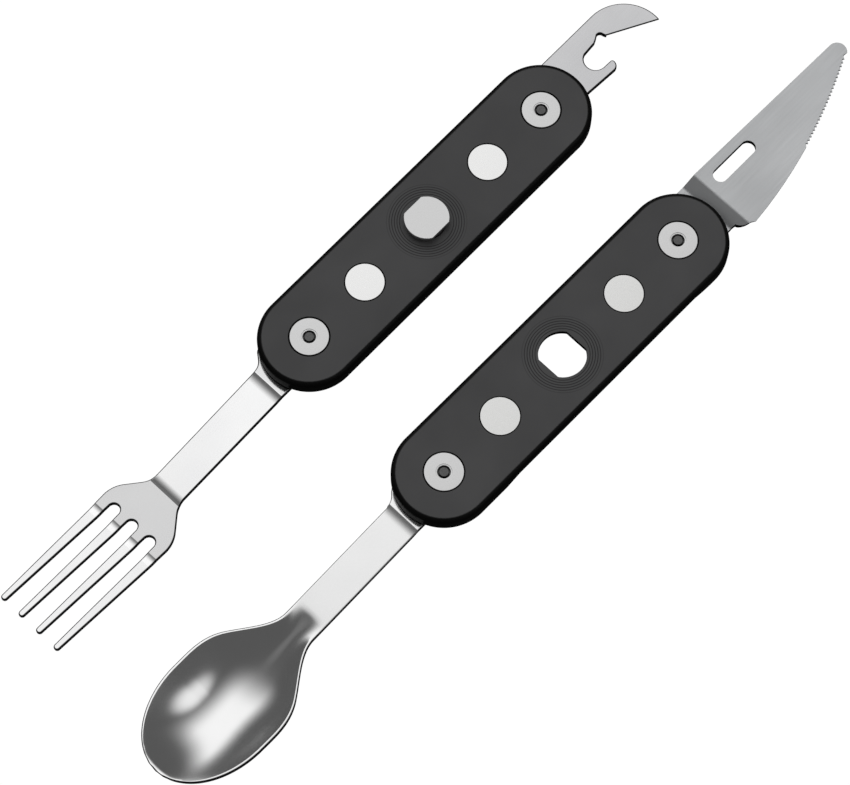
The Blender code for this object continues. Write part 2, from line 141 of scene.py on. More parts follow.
def addGroup(tree, group, vector, scales):
    node = tree.nodes.new("ShaderNodeGroup")
    node.node_tree = group
    for name, value in scales.items():
        node.inputs[name].default_value = value
    tree.links.new(vector, node.inputs["Vector"])
    return node


def addGrain(tree, vector, grains, clouds):
    return addGroup(tree, grainGroup, vector, {"Grains per metre": grains, "Cloud per metre": clouds})


def addBrush(tree, vector, lines):
    return addGroup(tree, brushGroup, vector, {"Lines per metre": lines})


def mathNode(tree, operation, first, second=None):
    node = tree.nodes.new("ShaderNodeMath")
    node.operation = operation
    for socketIn, value in zip(node.inputs, (first, second)):
        if isinstance(value, (int, float)):
            socketIn.default_value = value
        elif value is not None:
            tree.links.new(value, socketIn)
    return node.outputs[0]


def rangeNode(tree, value, start, end, low=0, high=1, smooth=False):
    node = tree.nodes.new("ShaderNodeMapRange")
    if smooth:
        node.interpolation_type = "SMOOTHSTEP"
    for name, number in (("From Min", start), ("From Max", end), ("To Min", low), ("To Max", high)):
        node.inputs[name].default_value = number
    tree.links.new(value, node.inputs["Value"])
    return node.outputs["Result"]


noiseSpan = (0.3, 0.7)


def spread(tree, value, low, high):
    # turns the middle of a noise into a range of roughness or brightness
    return rangeNode(tree, value, *noiseSpan, low, high)


def mixColour(tree, factor, first, second):
    node = tree.nodes.new("ShaderNodeMix")
    node.data_type = "RGBA"
    tree.links.new(factor, node.inputs["Factor"])
    for socketIn, value in ((node.inputs[6], first), (node.inputs[7], second)):
        if isinstance(value, tuple):
            socketIn.default_value = (*value, 1)
        else:
            tree.links.new(value, socketIn)
    return node.outputs[2]


def tint(tree, value, dark, light):
    return mixColour(tree, spread(tree, value, 0, 1), dark, light)


def addBump(tree, shader, height, strength, distance, under=None):
    bump = tree.nodes.new("ShaderNodeBump")
    bump.inputs["Strength"].default_value = strength
    bump.inputs["Distance"].default_value = distance
    tree.links.new(height, bump.inputs["Height"])
    if under:
        tree.links.new(under, bump.inputs["Normal"])
    tree.links.new(bump.outputs["Normal"], shader.inputs["Normal"])
    return bump.outputs["Normal"]


shellLook = {
    "dark": (0.134, 0.134, 0.136),
    "light": (0.158, 0.158, 0.160),
    # painted shade: the near-black that everything below the face is darkened to
    "edge": (0.006, 0.006, 0.006),
    "paintedShadeDepth": 0.04 * mm,
    "specular": 0.12,
    "roughness": (0.40, 0.48),
    "grains": 5200,
    "clouds": 60,
    "grainBump": 0.25,
    "bumpDepth": 0.02 * mm,
    "ring": (0.040, 0.040, 0.041),
    "ringInner": 6.3 * mm,
    "ringOuter": 10.2 * mm,
    "ringFade": 1.6 * mm,
    "ringPitch": 0.63 * mm,
    "grooveFrom": 0.2,
    "ringBump": -0.4,
}


def makeShellMaterial(name, centre):
    # satin charcoal face with fine turned rings round the coupling; the rounded edge, the walls and the
    # seats below the face carry painted shade, near-black
    look = shellLook
    material, tree, shader = newMaterial(name, look["light"], look["roughness"][0], 0, look["specular"])
    link = tree.links.new
    vector = objectVector(tree)
    grain = addGrain(tree, vector, look["grains"], look["clouds"])
    link(spread(tree, grain.outputs["Grain"], *look["roughness"]), shader.inputs["Roughness"])
    grainNormal = addBump(tree, shader, grain.outputs["Grain"], look["grainBump"], look["bumpDepth"])
    shift = tree.nodes.new("ShaderNodeMapping")
    shift.inputs["Location"].default_value = (-centre.x, -centre.y, 0)
    shift.inputs["Scale"].default_value = (1, 1, 0)
    link(vector, shift.inputs["Vector"])
    length = tree.nodes.new("ShaderNodeVectorMath")
    length.operation = "LENGTH"
    link(shift.outputs["Vector"], length.inputs[0])
    distance = length.outputs["Value"]
    sine = mathNode(tree, "SINE", mathNode(tree, "MULTIPLY", distance, math.tau / look["ringPitch"]))
    fade = rangeNode(tree, distance, look["ringOuter"], look["ringOuter"] - look["ringFade"], smooth=True)
    inside = mathNode(tree, "GREATER_THAN", distance, look["ringInner"])
    groove = rangeNode(tree, sine, look["grooveFrom"], 1, smooth=True)
    rings = mathNode(tree, "MULTIPLY", groove, mathNode(tree, "MULTIPLY", fade, inside))
    addBump(tree, shader, rings, look["ringBump"], look["bumpDepth"], grainNormal)
    height = tree.nodes.new("ShaderNodeSeparateXYZ")
    link(vector, height.inputs[0])
    # painted shade: just below the top face the colour turns near-black
    edge = rangeNode(tree, height.outputs["Z"], centre.z, centre.z - look["paintedShadeDepth"])
    face = tint(tree, grain.outputs["Cloud"], look["dark"], look["light"])
    face = mixColour(tree, rings, face, look["ring"])
    link(mixColour(tree, edge, face, look["edge"]), shader.inputs["Base Color"])
    return material


# painted shade: the near-black that the steel's colour is darkened to on marked faces
paintedShadeTone = (0.025, 0.025, 0.026)


def makeMetal(name, look):
    # steel with belt lines or grain, a little uneven in tone and gloss, with painted shade mixed in from
    # the "shade" attribute
    middle = tuple((a + b) / 2 for a, b in zip(look["dark"], look["light"]))
    material, tree, shader = newMaterial(name, middle, look["roughness"][0], 1)
    link = tree.links.new
    vector = objectVector(tree)
    grain = addGrain(tree, vector, look["grains"], look["clouds"])
    if look["lines"]:
        texture = addBrush(tree, vector, look["lines"]).outputs["Lines"]
    else:
        texture = grain.outputs["Grain"]
    tone = tint(tree, grain.outputs[look["toneFrom"]], look["dark"], look["light"])
    shade = tree.nodes.new("ShaderNodeAttribute")
    shade.attribute_name = "shade"
    # painted shade: faces marked in the "shade" attribute are darkened towards the near-black tone
    link(mixColour(tree, shade.outputs["Fac"], tone, paintedShadeTone), shader.inputs["Base Color"])
    link(spread(tree, texture, *look["roughness"]), shader.inputs["Roughness"])
    addBump(tree, shader, texture, look["bump"], 0.01 * mm)
    return material


metalLooks = {
    "polishedSteel": {"dark": (0.91, 0.91, 0.915), "light": (0.95, 0.95, 0.95), "roughness": (0.10, 0.13),
                      "grains": 3000, "clouds": 90, "lines": 2600, "toneFrom": "Cloud", "bump": 0.02},
    "bowlSteel": {"dark": (0.86, 0.86, 0.86), "light": (0.89, 0.89, 0.89), "roughness": (0.14, 0.17),
                  "grains": 3000, "clouds": 70, "lines": 0, "toneFrom": "Cloud", "bump": 0.01},
    "satinBlade": {"dark": (0.48, 0.49, 0.50), "light": (0.66, 0.67, 0.68), "roughness": (0.40, 0.48),
                   "grains": 3500, "clouds": 28, "lines": 3200, "toneFrom": "Cloud", "bump": 0.08},
    "openerSteel": {"dark": (0.55, 0.55, 0.56), "light": (0.60, 0.60, 0.61), "roughness": (0.20, 0.26),
                    "grains": 3500, "clouds": 60, "lines": 3200, "toneFrom": "Cloud", "bump": 0.04},
    "washerSteel": {"dark": (0.64, 0.64, 0.64), "light": (0.74, 0.74, 0.74), "roughness": (0.28, 0.38),
                    "grains": 2600, "clouds": 100, "lines": 0, "toneFrom": "Grain", "bump": 0.10},
    "magnetNickel": {"dark": (0.80, 0.80, 0.80), "light": (0.88, 0.88, 0.87), "roughness": (0.22, 0.30),
                     "grains": 2200, "clouds": 100, "lines": 0, "toneFrom": "Grain", "bump": 0.06},
    "dullNickel": {"dark": (0.72, 0.72, 0.71), "light": (0.80, 0.80, 0.79), "roughness": (0.26, 0.36),
                   "grains": 2200, "clouds": 100, "lines": 0, "toneFrom": "Grain", "bump": 0.08},
    "darkPin": {"dark": (0.08, 0.08, 0.08), "light": (0.15, 0.15, 0.15), "roughness": (0.30, 0.42),
                "grains": 3000, "clouds": 500, "lines": 0, "toneFrom": "Grain", "bump": 0.2},
    "brass": {"dark": (0.52, 0.36, 0.12), "light": (0.62, 0.44, 0.17), "roughness": (0.3, 0.4),
              "grains": 2600, "clouds": 200, "lines": 0, "toneFrom": "Grain", "bump": 0.15},
}
metals = {name: makeMetal(name, look) for name, look in metalLooks.items()}
forkShell = makeShellMaterial("forkShellBlack", forkHalf.to_translation())
spoonShell = makeShellMaterial("spoonShellBlack", spoonHalf.to_translation())
print("materials ready")


# modelling helpers; shapes are drawn in millimetres round their own pivot
def toObject(name, bm):
    bmesh.ops.recalc_face_normals(bm, faces=bm.faces)
    mesh = bpy.data.meshes.new(name)
    bm.to_mesh(mesh)
    bm.free()
    piece = bpy.data.objects.new(name, mesh)
    bpy.context.scene.collection.objects.link(piece)
    return piece


def settle(piece):
    # applies the modifiers
    bpy.context.view_layer.update()
    graph = bpy.context.evaluated_depsgraph_get()
    mesh = bpy.data.meshes.new_from_object(piece.evaluated_get(graph))
    piece.modifiers.clear()
    old = piece.data
    piece.data = mesh
    bpy.data.meshes.remove(old)


def combine(piece, others, operation):
    for other in others:
        boolean = piece.modifiers.new("shape", "BOOLEAN")
        boolean.operation = operation
        boolean.solver = "EXACT"
        boolean.object = other
    settle(piece)
    for other in others:
        bpy.data.objects.remove(other, do_unlink=True)


def softenEdges(piece, width, segments=2, angle=32, clamp=True):
    bevel = piece.modifiers.new("edges", "BEVEL")
    bevel.use_clamp_overlap = clamp
    bevel.width = width
    bevel.segments = segments
    bevel.limit_method = "ANGLE"
    bevel.angle_limit = math.radians(angle)
    bevel.miter_outer = "MITER_ARC"
    settle(piece)


# painted shade: how far the edges and walls of the steel are darkened
paintedEdgeShade = 0.95
edgeTilt = (-0.5, 0.95)


def shadeEdges(piece, middle=None):
    # paints shade on the rounded edges and walls: their colour is darkened, standing in for the dark
    # surroundings the metal reflects there
    mesh = piece.data
    shade = mesh.attributes.new("shade", "FLOAT", "FACE")
    for face in mesh.polygons:
        outward = True
        if middle:
            across = face.center - Vector(middle)
            outward = across.x * face.normal.x + across.y * face.normal.y > 0
        if outward and edgeTilt[0] < face.normal.z < edgeTilt[1]:
            shade.data[face.index].value = paintedEdgeShade


def shadeBands(piece, paintedShadeBands):
    # paints shade on whole stretches along the piece, apart from the edges, darkening their colour by the
    # listed amount
    shade = piece.data.attributes["shade"]
    for face in piece.data.polygons:
        for low, high, amount in paintedShadeBands:
            if low < face.center.x / mm < high and shade.data[face.index].value == 0:
                shade.data[face.index].value = amount


def finish(piece, place, material, body, node, sharp=38):
    mesh = piece.data
    mesh.transform(place)
    mesh.materials.clear()
    mesh.materials.append(material)
    mesh.shade_smooth()
    mesh.set_sharp_from_angle(angle=math.radians(sharp))
    weighted = piece.modifiers.new("even", "WEIGHTED_NORMAL")
    weighted.keep_sharp = True
    weighted.weight = 80
    settle(piece)
    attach(piece, body)
    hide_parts(node)


def turned(name, profile, segments=72):
    # profile points are (radius, height), from axis to axis or closed on itself
    bm = bmesh.new()
    pen = bm.verts.new((profile[0][0] * mm, 0, profile[0][1] * mm))
    for radius, height in profile[1:]:
        grown = bmesh.ops.extrude_vert_indiv(bm, verts=[pen])
        pen = grown["verts"][0]
        pen.co = (radius * mm, 0, height * mm)
    bmesh.ops.spin(
        bm, geom=bm.verts[:] + bm.edges[:], axis=(0, 0, 1), cent=(0, 0, 0),
        angle=math.tau, steps=segments, use_merge=True,
    )
    bmesh.ops.remove_doubles(bm, verts=bm.verts, dist=0.001 * mm)
    return toObject(name, bm)


def tracePlate(name, strokes, top, thickness, arcStep=4):
    # a pen draws the outline in millimetres; ("arc", centreX, centreY, degrees) turns it
    bm = bmesh.new()
    first = bm.verts.new((strokes[0][0] * mm, strokes[0][1] * mm, top))
    pen = first
    for stroke in strokes[1:]:
        if stroke[0] == "arc":
            centre = (stroke[1] * mm, stroke[2] * mm, top)
            steps = max(3, round(abs(stroke[3]) / arcStep))
            made = bmesh.ops.spin(
                bm, geom=[pen], axis=(0, 0, 1), cent=centre,
                angle=math.radians(stroke[3]), steps=steps, use_duplicate=False,
            )
            pen = made["geom_last"][0]
        else:
            pen = bmesh.ops.extrude_vert_indiv(bm, verts=[pen])["verts"][0]
            pen.co = (stroke[0] * mm, stroke[1] * mm, top)
    bm.edges.new((pen, first))
    bmesh.ops.remove_doubles(bm, verts=bm.verts, dist=0.03 * mm)
    bmesh.ops.contextual_create(bm, geom=bm.edges[:])
    grown = bmesh.ops.extrude_face_region(bm, geom=bm.faces[:])
    lower = [v for v in grown["geom"] if isinstance(v, bmesh.types.BMVert)]
    bmesh.ops.translate(bm, vec=(0, 0, -thickness), verts=lower)
    return toObject(name, bm)


def riseAt(x, slopes):
    # adds up a list of (distance, slope), straight between its entries
    run = abs(x) / mm
    rise = 0
    for (a, slopeA), (b, slopeB) in zip(slopes, slopes[1:]):
        if run > a:
            share = (min(run, b) - a) / (b - a)
            rise += share * (b - a) * (2 * slopeA + (slopeB - slopeA) * share) / 2
    return rise * mm


def bendPlate(piece, slopes, side):
    bm = bmesh.new()
    bm.from_mesh(piece.data)
    for (a, slopeA), (b, slopeB) in zip(slopes, slopes[1:]):
        if slopeA != slopeB:
            cuts = 10 if b - a > 1 else 4
            for i in range(cuts + 1):
                at = side * (a + (b - a) * i / cuts) * mm
                bmesh.ops.bisect_plane(
                    bm, geom=bm.verts[:] + bm.edges[:] + bm.faces[:], dist=0.0005 * mm,
                    plane_co=(at, 0, 0), plane_no=(1, 0, 0),
                )
    for v in bm.verts:
        if v.co.x * side > 0:
            v.co.z += riseAt(v.co.x, slopes)
    bm.to_mesh(piece.data)
    bm.free()


def movedAlong(piece, x):
    piece.data.transform(Matrix.Translation((x, 0, 0)))
    return piece


def rod(name, radius, bottom, top):
    return turned(name, [(0, bottom), (radius, bottom), (radius, top), (0, top)], 64)


# the two black handle shells
handle = {
    "endRadius": 12.4,
    "depth": 4.5,
    "recessDepth": 2.7,
    "recessPad": (10.67, 14.4),
    "recessEnd": (-36.0, -27.6),
    "faceRound": 1.3,
    "backRound": 0.4,
    "washerSeat": (4.98, 1.5),
    "pinBore": 2.3,
    "frictionSeat": (4.8, 3.8),
    "magnetSeat": (4.92, 1.9),
    "magnetOffset": 21.3,
    "endSegments": 126,
    "edge": 0.1,
}
cutAbove = 1
cutBelow = -6


def handleBlank(name):
    bm = bmesh.new()
    count = handle["endSegments"]
    bmesh.ops.create_circle(bm, cap_ends=True, segments=count, radius=handle["endRadius"] * mm)
    bmesh.ops.rotate(bm, verts=bm.verts, cent=(0, 0, 0), matrix=Matrix.Rotation(math.pi / count, 3, "Z"))
    for v in bm.verts:
        v.co.x += math.copysign(reach, v.co.x)
    grown = bmesh.ops.extrude_face_region(bm, geom=bm.faces[:])
    lower = [v for v in grown["geom"] if isinstance(v, bmesh.types.BMVert)]
    bmesh.ops.translate(bm, vec=(0, 0, -handle["depth"] * mm), verts=lower)
    for level, width, segments in ((0, handle["faceRound"], 6), (-handle["depth"], handle["backRound"], 3)):
        rim = [e for e in bm.edges if all(abs(v.co.z - level * mm) < 0.01 * mm for v in e.verts)]
        bmesh.ops.bevel(
            bm, geom=rim, offset=width * mm, segments=segments, profile=0.5, affect="EDGES", material=-1
        )
    return toObject(name, bm)


def knifeRecess():
    # room above the raised blade: open along both sides, sloping at both ends
    lowPad, highPad = handle["recessPad"]
    lowEnd, highEnd = handle["recessEnd"]
    half = reach / mm
    wide = 2 * handle["endRadius"]
    start = math.radians(260)
    strokes = [
        (lowEnd, wide), (lowEnd, -wide), (half + lowPad * math.cos(start), -wide),
        (half + lowPad * math.cos(start), lowPad * math.sin(start)), ("arc", half, 0, -160),
        (half + lowPad * math.cos(start), wide),
    ]
    ceiling = -handle["recessDepth"] * mm
    cutter = tracePlate("recess", strokes, ceiling, (handle["depth"] + 1) * mm + ceiling)
    for v in cutter.data.vertices:
        if v.co.z > ceiling - 0.01 * mm:
            if v.co.x < 0:
                v.co.x = highEnd * mm
            else:
                v.co.x = reach + (v.co.x - reach) * highPad / lowPad
                v.co.y *= highPad / lowPad
    return cutter


def seatCutters():
    cutters = []
    for side in (-1, 1):
        radius, depth = handle["washerSeat"]
        wide, ceiling = handle["frictionSeat"]
        stack = turned("seat", [
            (0, cutAbove), (radius, cutAbove), (radius, -depth), (handle["pinBore"], -depth),
            (handle["pinBore"], -ceiling), (wide, -ceiling), (wide, cutBelow), (0, cutBelow),
        ])
        cutters.append(movedAlong(stack, side * reach))
        radius, depth = handle["magnetSeat"]
        bore = rod("seat", radius, -depth, cutAbove)
        cutters.append(movedAlong(bore, side * handle["magnetOffset"] * mm))
    return cutters


def flattedRod(name, radius, flats, bottom, top, alongX):
    # a round bar with two opposite flats
    bm = bmesh.new()
    bmesh.ops.create_circle(bm, cap_ends=True, segments=96, radius=radius * mm)
    axis = Vector((0, 1, 0)) if alongX else Vector((1, 0, 0))
    for side in (-1, 1):
        bmesh.ops.bisect_plane(
            bm, geom=bm.verts[:] + bm.edges[:] + bm.faces[:], dist=0.001 * mm,
            plane_co=axis * side * flats / 2 * mm, plane_no=axis * side, clear_outer=True,
        )
    bmesh.ops.translate(bm, vec=(0, 0, top * mm), verts=bm.verts)
    grown = bmesh.ops.extrude_face_region(bm, geom=bm.faces[:])
    lower = [v for v in grown["geom"] if isinstance(v, bmesh.types.BMVert)]
    bmesh.ops.translate(bm, vec=(0, 0, (bottom - top) * mm), verts=lower)
    return toObject(name, bm)


coupling = {
    "studRadius": 5.5,
    "studFlats": 9.35,
    "height": 2.6,
    "headDepth": 1.0,
    "neckRadius": 4.5,
    "seatDepth": 1.4,
    "tailRadius": 2.5,
    "flangeRadius": 4.5,
    "flangeTop": -3.0,
    "flangeDepth": 0.7,
    "socketRadius": 5.75,
    "socketFlats": 9.7,
    "socketPlate": 1.5,
    "socketRelief": 6.3,
    "neckClear": 0.15,
    "tailClear": 0.3,
    "seatCut": -1.7,
}


def makeHandle(name, node, half, body, material, extraCutters):
    shell = handleBlank(name)
    combine(shell, seatCutters() + extraCutters, "DIFFERENCE")
    softenEdges(shell, handle["edge"] * mm, 2, 50)
    finish(shell, half, material, body, node)


def makeHandles():
    neck = coupling["neckRadius"] + coupling["neckClear"]
    tail = coupling["tailRadius"] + coupling["tailClear"]
    flange = coupling["flangeRadius"] + coupling["tailClear"]
    cut, ceiling = coupling["seatCut"], -handle["recessDepth"]
    studSeat = turned("studSeat", [
        (0, cutAbove), (neck, cutAbove), (neck, cut), (tail, cut), (tail, ceiling),
        (flange, ceiling), (flange, cutBelow), (0, cutBelow),
    ])
    makeHandle("forkHandleShell", "fork_handle", forkHalf, "fork_half", forkShell, [studSeat])
    radius, flats = coupling["socketRadius"], coupling["socketFlats"]
    socket = flattedRod("socket", radius, flats, cutBelow, cutAbove, False)
    relief = rod("relief", coupling["socketRelief"], cutBelow, -coupling["socketPlate"])
    cutters = [knifeRecess(), socket, relief]
    makeHandle("spoonHandleShell", "spoon_handle", spoonHalf, "spoon_half", spoonShell, cutters)


makeHandles()
print("handles ready")


def makeStud():
    underHead = coupling["height"] - coupling["headDepth"]
    stud = turned("couplingStud", [
        (0, underHead + 0.4), (coupling["neckRadius"], underHead + 0.4),
        (coupling["neckRadius"], -coupling["seatDepth"]), (coupling["tailRadius"], -coupling["seatDepth"]),
        (coupling["tailRadius"], coupling["flangeTop"]), (coupling["flangeRadius"], coupling["flangeTop"]),
        (coupling["flangeRadius"] - 0.2, coupling["flangeTop"] - coupling["flangeDepth"]),
        (0, coupling["flangeTop"] - coupling["flangeDepth"]),
    ])
    head = flattedRod(
        "head", coupling["studRadius"], coupling["studFlats"], underHead, coupling["height"], True
    )
    combine(stud, [head], "UNION")
    softenEdges(stud, 0.16 * mm, 3, 40)
    finish(stud, forkHalf, metals["washerSteel"], "fork_half", "coupling_stud")


makeStud()


# washers, pins and magnets
pivot = {
    "washerRadius": 4.7,
    "washerDepth": 1.2,
    "bore": 1.62,
    "countersink": 1.95,
    "countersinkDepth": 0.16,
    "tipRadius": 1.22,
    "pinRadius": 2.0,
    "headRadius": 3.75,
    "headDepth": 0.8,
    "frictionRadius": 4.5,
    "frictionBore": 2.3,
    "frictionTop": -4.1,
    "frictionDepth": 0.4,
}


def makePivot(prefix, half, side, body):
    place = pivotPlace(half, side)
    edge = 0.12
    outer = pivot["washerRadius"]
    washer = turned(prefix + "PivotWasher", [
        (pivot["bore"], -pivot["washerDepth"]), (outer, -pivot["washerDepth"]), (outer, -edge),
        (outer - 0.04, -0.04), (outer - edge, 0), (pivot["countersink"], 0),
        (pivot["countersink"] - 0.04, -pivot["countersinkDepth"]),
        (pivot["bore"], -pivot["countersinkDepth"] - 0.02), (pivot["bore"], -pivot["washerDepth"]),
    ])
    finish(washer, place, metals["washerSteel"], body, prefix + "_pivot_washer")
    foot = tangTop / mm - steel / mm - 0.3
    tip = pivot["tipRadius"]
    head = pivot["headRadius"]
    base = foot - pivot["headDepth"]
    pin = turned(prefix + "PivotPin", [
        (0, -0.1), (tip - 0.12, -0.11), (tip - 0.03, -0.16), (tip, -0.3), (tip, -1.5),
        (pivot["pinRadius"], -1.5), (pivot["pinRadius"], foot), (head - 0.1, foot), (head, foot - 0.1),
        (head, base + 0.3), (head - 0.12, base + 0.12), (head - 0.35, base), (0, base),
    ])
    shadeEdges(pin)
    finish(pin, place, metals["darkPin"], body, prefix + "_pivot_pin", 20)
    top = pivot["frictionTop"]
    low = top - pivot["frictionDepth"]
    friction = turned(prefix + "FrictionWasher", [
        (pivot["frictionBore"], low), (pivot["frictionRadius"] - 0.05, low),
        (pivot["frictionRadius"], low + 0.05), (pivot["frictionRadius"], top - 0.05),
        (pivot["frictionRadius"] - 0.05, top), (pivot["frictionBore"], top), (pivot["frictionBore"], low),
    ])
    finish(friction, place, metals["brass"], body, prefix + "_friction_washer")


for prefix, half, side, body in (
    ("fork", forkHalf, -1, "fork_half"), ("opener", forkHalf, 1, "fork_half"),
    ("spoon", spoonHalf, -1, "spoon_half"), ("knife", spoonHalf, 1, "spoon_half"),
):
    makePivot(prefix, half, side, body)

magnet = {"radius": 4.7, "depth": 1.6, "edge": 0.1}


def makeMagnet(name, node, half, side, body, material):
    outer, edge = magnet["radius"], magnet["edge"]
    disc = turned(name, [
        (0, -magnet["depth"]), (outer - edge, -magnet["depth"]), (outer, edge - magnet["depth"]),
        (outer, -edge), (outer - 0.3 * edge, -0.3 * edge), (outer - edge, 0), (0, 0),
    ])
    place = half @ Matrix.Translation((side * handle["magnetOffset"] * mm, 0, 0))
    finish(disc, place, material, body, node)


for half, body, ends, material in (
    (forkHalf, "fork_half", ("fork", "opener"), metals["magnetNickel"]),
    (spoonHalf, "spoon_half", ("spoon", "knife"), metals["dullNickel"]),
):
    for side, end in zip((-1, 1), ends):
        node = body + "_magnet_near_" + end
        makeMagnet(node.replace("_magnet_near_", "MagnetNear_"), node, half, side, body, material)
print("small hardware ready")


# the steel root that the fork and the spoon share
tang = {"boss": 8.0, "flare": 3.7, "flareY": 8.45, "flareTurn": 35, "crease": 14.2, "neck": 4.6,
        "stopY": 8.4, "stopStart": -6.5, "stopEdge": -8.4, "stopEnd": -11.2, "stopSlope": 0.75}


def tangStrokes():
    # the root under the handle: straight on one side, flared to a stop on the other
    lean = math.degrees(math.asin(tang["neck"] / tang["boss"]))
    boss, flare = tang["boss"], tang["flare"]
    turn = math.radians(tang["flareTurn"])
    return [
        (-boss * math.cos(math.radians(lean)), -tang["neck"]),
        ("arc", 0, 0, 280 - lean),
        (tang["stopEdge"], tang["stopY"]), (-9.9, 7.9),
        (-tang["crease"] + flare * math.cos(turn), tang["flareY"] - flare * math.sin(turn)),
        ("arc", -tang["crease"], tang["flareY"], tang["flareTurn"] - 90),
    ]


def pinBore():
    return rod("bore", 2.3, tangTop / mm - 3, tangTop / mm + 3)


fork = {
    "length": 93.4,
    "neckHalf": 4.5,
    "shoulder": 10.3,
    "tipYs": (8.65, 2.88, -2.88, -8.65),
    "gapYs": (5.8, 0, -5.8),
    "tipRadius": 0.8,
    "gapRadius": 1.48,
    "gapRoot": -60.2,
    "edge": 0.4,
    # painted shade on the fork head, the tines and the root by the handle: (from, to, amount) along the
    # piece
    "paintedShadeBands": [(-61.9, -49.3, 0.34), (-95, -64.3, 0.1), (-13.9, 9, 0.2)],
    "slopes": [
        (13.9, 0), (14.15, -0.31), (16.6, -0.11), (46.9, -0.11), (49.2, -0.31), (49.4, 0),
        (61.8, 0), (62.0, -0.24), (64.4, 0.07), (95, 0.07),
    ],
}


def makeFork():
    tip = -(fork["length"] - fork["tipRadius"])
    strokes = [
        (-47, fork["neckHalf"]), ("arc", -47, 10.5, -40), (-54.05, 8.5), ("arc", -59, 2.6, 40),
    ]
    for i, y in enumerate(fork["tipYs"]):
        strokes += [(tip, y + fork["tipRadius"]), ("arc", tip, y, 180)]
        if i < 3:
            gap = fork["gapYs"][i]
            strokes += [(fork["gapRoot"], gap + fork["gapRadius"]), ("arc", fork["gapRoot"], gap, -180)]
    strokes += [(-59, -fork["shoulder"]), ("arc", -59, -2.6, 40), (-50.86, -5.9), ("arc", -47, -10.5, -40)]
    strokes += tangStrokes()
    piece = tracePlate("forkBlank", strokes, tangTop, steel)
    softenEdges(piece, fork["edge"] * mm, 5, clamp=False)
    combine(piece, [pinBore()], "DIFFERENCE")
    shadeEdges(piece)
    bendPlate(piece, fork["slopes"], -1)
    shadeBands(piece, fork["paintedShadeBands"])
    piece.name = "forkSteel"
    finish(piece, pivotPlace(forkHalf, -1), metals["polishedSteel"], "fork", "fork")


opener = {
    "spine": 9.5,
    "bossY": -3.65,
    "noseRadius": 11.0,
    "noseX": 28.9,
    "noseTurn": 9.5,
    "hookX": 20.9,
    "hookY": 0.9,
    "hookRadius": 2.87,
    "edge": 0.4,
    "grindLine": [(27.5, 3.24), (42.6, -4.82)],
    "grindOutward": (-0.471, -0.882),
    "grind": 1.5,
    "edgeLeft": 0.25,
}


def grindCutter(edge, outward, width, left):
    # a wedge that takes the underside down to a thin edge
    bm = bmesh.new()
    back = tangTop - steel
    overshoot = 1.6
    inner = [(x - outward[0] * width, y - outward[1] * width) for x, y in edge]
    pen = bm.verts.new((inner[0][0] * mm, inner[0][1] * mm, back))
    for x, y in inner[1:]:
        pen = bmesh.ops.extrude_vert_indiv(bm, verts=[pen])["verts"][0]
        pen.co = (x * mm, y * mm, back)
    grown = bmesh.ops.extrude_edge_only(bm, edges=bm.edges[:])
    outer = [v for v in grown["geom"] if isinstance(v, bmesh.types.BMVert)]
    step = (
        outward[0] * width * overshoot * mm, outward[1] * width * overshoot * mm,
        (steel - left * mm) * overshoot,
    )
    bmesh.ops.translate(bm, vec=step, verts=outer)
    grown = bmesh.ops.extrude_face_region(bm, geom=bm.faces[:], use_keep_orig=True)
    lower = [v for v in grown["geom"] if isinstance(v, bmesh.types.BMVert)]
    bmesh.ops.translate(bm, vec=(0, 0, -6 * mm), verts=lower)
    return toObject("grind", bm)


def farRoot(spine, lowY):
    # the root of the opener and the knife: a straight spine into the round boss
    start = math.degrees(math.asin(-lowY / tang["boss"]))
    boss = tang["boss"]
    return [
        (6, spine), ("arc", 6, spine - 4, 40),
        (boss * math.cos(math.radians(115)), boss * math.sin(math.radians(115))),
        ("arc", 0, 0, 245 - start),
    ]


def makeOpener():
    hookX, hookY, hookRadius = opener["hookX"], opener["hookY"], opener["hookRadius"]
    nose = opener["noseRadius"]
    lean = math.radians(-opener["noseTurn"])
    strokes = [
        (7.13, opener["bossY"]), (21.9, -4.5), ("arc", 22.0, -2.75, 103), (23.5, -2.05),
        (hookX, hookY - hookRadius), ("arc", hookX, hookY, -165),
        (23.9, 3.97), (25.0, 4.47), (25.7, 4.9), ("arc", 26.2, 4.2, -125), (27.3, 3.35),
        (opener["noseX"] + nose * math.cos(lean), opener["spine"] - nose + nose * math.sin(lean)),
        ("arc", opener["noseX"], opener["spine"] - nose, 90 + opener["noseTurn"]),
    ]
    strokes += farRoot(opener["spine"], opener["bossY"])
    piece = tracePlate("openerSteel", strokes, tangTop, steel)
    grind = grindCutter(opener["grindLine"], opener["grindOutward"], opener["grind"], opener["edgeLeft"])
    softenEdges(piece, opener["edge"] * mm, 5, clamp=False)
    combine(piece, [pinBore(), grind], "DIFFERENCE")
    shadeEdges(piece)
    finish(piece, pivotPlace(forkHalf, 1), metals["openerSteel"], "opener", "opener")


makeFork()
makeOpener()

knife = {
    "spine": 9.5,
    "bossY": -6.1,
    "heel": 17.6,
    "edgeStart": -9.5,
    "edgeCurve": (0.09, 0.004),
    "teeth": 26,
    "toothDepth": 0.62,
    "toothLean": 0.65,
    "toothFrom": 40.5,
    "toothTo": 65.4,
    "tip": (64.85, 6.15),
    "tipRadius": 2.4,
    "tipTurn": 55,
    "slot": (20.7, 30.6, 4.7, 1.85),
    "grind": 2.6,
    "edgeLeft": 0.3,
    "edge": 0.12,
    "slopes": [(12.0, 0), (12.8, 0.466), (15.9, 0.466), (16.7, 0), (70, 0)],
}


def edgeY(x):
    run = x - knife["heel"]
    slope, bend = knife["edgeCurve"]
    return knife["edgeStart"] + slope * run + bend * run * run


